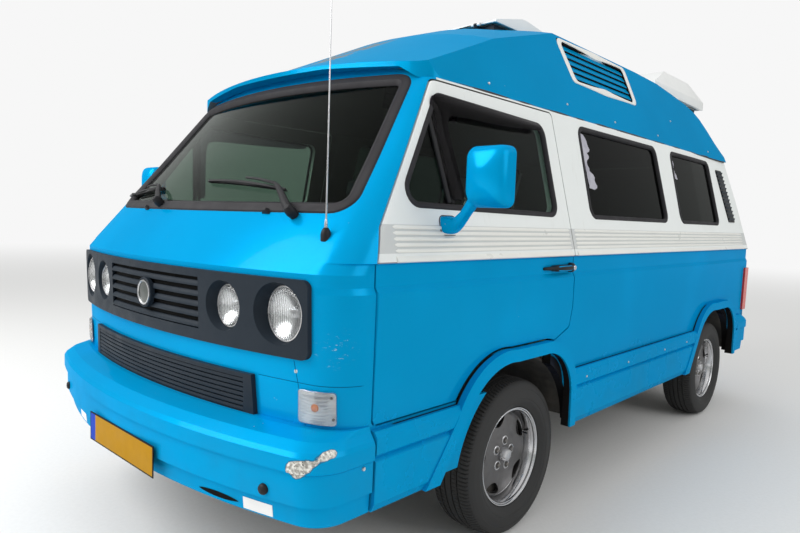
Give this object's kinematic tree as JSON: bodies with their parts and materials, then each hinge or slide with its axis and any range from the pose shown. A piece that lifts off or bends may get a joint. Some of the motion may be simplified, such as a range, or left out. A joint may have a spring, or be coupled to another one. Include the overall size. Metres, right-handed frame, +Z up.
{
  "type": "high-roof camper van",
  "caption": "Rear-engined camper van with a fixed high roof, hollow cab and living space, opening doors, tailgate and roof hatches, steered and rolling wheels.",
  "frame": {"origin": "on the ground plane below the middle of the van, halfway between the bumper tips and on the centre line", "axes": "-Y to the front of the van, +X to its left side, +Z up"},
  "size_m": [2.364, 4.605, 2.4249],
  "materials": {
    "body_paint": "gloss",
    "white_paint": "satin",
    "moulding_blue": "gloss",
    "grille_grey": "matte",
    "grille_black": "matte",
    "lamp_glass": "gloss",
    "tail_lens": "gloss",
    "plate_yellow": "satin",
    "window_glass": "gloss",
    "vent_black": "matte",
    "wiper_black": "matte",
    "dash_plastic": "matte",
    "seat_cloth": "matte",
    "cabinet_wood": "satin",
    "underbody": "matte",
    "cast_metal": "matte",
    "exhaust_steel": "satin",
    "tyre_rubber": "matte",
    "alloy": "satin",
    "hatch_white": "satin"
  },
  "bodies": {
    "body": {"nose_panel": "body_paint", "side_left": "body_paint", "side_right": "body_paint", "sliding_door": "body_paint", "rear_frame": "body_paint", "floor_pan": "underbody", "high_roof": "moulding_blue", "roof_louvres": "hatch_white", "hatch_frames": "grille_grey", "front_bumper": "moulding_blue", "rear_bumper": "moulding_blue", "sill_skirts": "moulding_blue", "grille_panel": "grille_grey", "lower_grille": "grille_black", "front_lamps": "lamp_glass", "tail_lamps": "tail_lens", "number_plates": "plate_yellow", "fixed_glass": "window_glass", "pillar_vents": "vent_black", "wipers_and_aerial": "wiper_black", "dashboard": "dash_plastic", "front_seats": "seat_cloth", "rear_bench": "seat_cloth", "kitchen_cabinet": "cabinet_wood", "engine_block": "cast_metal", "silencer": "exhaust_steel", "fuel_tank": "underbody", "spare_wheel": "tyre_rubber", "front_suspension": "cast_metal", "rear_suspension": "cast_metal"},
    "door_left": {"door_left": "body_paint", "door_glass_left": "window_glass"},
    "door_right": {"door_right": "body_paint", "door_glass_right": "window_glass"},
    "tailgate": {"tailgate": "body_paint", "tailgate_glass": "window_glass"},
    "front_hatch": {"front_hatch": "hatch_white"},
    "rear_hatch": {"rear_hatch": "hatch_white"},
    "steering_wheel": {"steering_wheel": "dash_plastic"},
    "knuckle_left": {"knuckle_left": "cast_metal"},
    "knuckle_right": {"knuckle_right": "cast_metal"},
    "wheel_front_left": {"tyre_front_left": "tyre_rubber", "rim_front_left": "alloy"},
    "wheel_front_right": {"tyre_front_right": "tyre_rubber", "rim_front_right": "alloy"},
    "wheel_rear_left": {"tyre_rear_left": "tyre_rubber", "rim_rear_left": "alloy"},
    "wheel_rear_right": {"tyre_rear_right": "tyre_rubber", "rim_rear_right": "alloy"}
  },
  "joints": [
    {"name": "steer_left", "type": "hinge", "parent": "body", "child": "knuckle_left", "pos_m": [0.715, -1.0475, 0.325], "axis": [0, 0, 1], "range_deg": [-35, 35]},
    {"name": "steer_right", "type": "hinge", "parent": "body", "child": "knuckle_right", "pos_m": [-0.715, -1.0475, 0.325], "axis": [0, 0, 1], "range_deg": [-35, 35]},
    {"name": "steering_column", "type": "hinge", "parent": "body", "child": "steering_wheel", "pos_m": [0.4, -1.6, 1.13], "axis": [0, 0.5, 0.866], "range_deg": [-630, 630]},
    {"name": "door_left_hinge", "type": "hinge", "parent": "body", "child": "door_left", "pos_m": [0.908, -1.902, 0.9], "axis": [0, 0, -1], "range_deg": [0, 65]},
    {"name": "door_right_hinge", "type": "hinge", "parent": "body", "child": "door_right", "pos_m": [-0.908, -1.902, 0.9], "axis": [0, 0, 1], "range_deg": [0, 65]},
    {"name": "tailgate_hinge", "type": "hinge", "parent": "body", "child": "tailgate", "pos_m": [0, 1.998, 1.789], "axis": [1, 0, 0], "range_deg": [0, 85]},
    {"name": "front_hatch_hinge", "type": "hinge", "parent": "body", "child": "front_hatch", "pos_m": [0, -0.492, 2.33], "axis": [1, 0, 0], "range_deg": [0, 35]},
    {"name": "rear_hatch_hinge", "type": "hinge", "parent": "body", "child": "rear_hatch", "pos_m": [0, 1.138, 2.242], "axis": [1, 0, 0], "range_deg": [0, 40]},
    {"name": "spin_front_left", "type": "hinge", "parent": "knuckle_left", "child": "wheel_front_left", "pos_m": [0.7925, -1.0475, 0.325], "axis": [1, 0, 0], "continuous": true},
    {"name": "spin_front_right", "type": "hinge", "parent": "knuckle_right", "child": "wheel_front_right", "pos_m": [-0.7925, -1.0475, 0.325], "axis": [1, 0, 0], "continuous": true},
    {"name": "spin_rear_left", "type": "hinge", "parent": "body", "child": "wheel_rear_left", "pos_m": [0.785, 1.4135, 0.325], "axis": [1, 0, 0], "continuous": true},
    {"name": "spin_rear_right", "type": "hinge", "parent": "body", "child": "wheel_rear_right", "pos_m": [-0.785, 1.4135, 0.325], "axis": [1, 0, 0], "continuous": true}
  ],
  "couplings": [
    {"joint": "steer_right", "follows": "steer_left", "ratio": 1},
    {"joint": "steering_column", "follows": "steer_left", "ratio": 18}
  ]
}
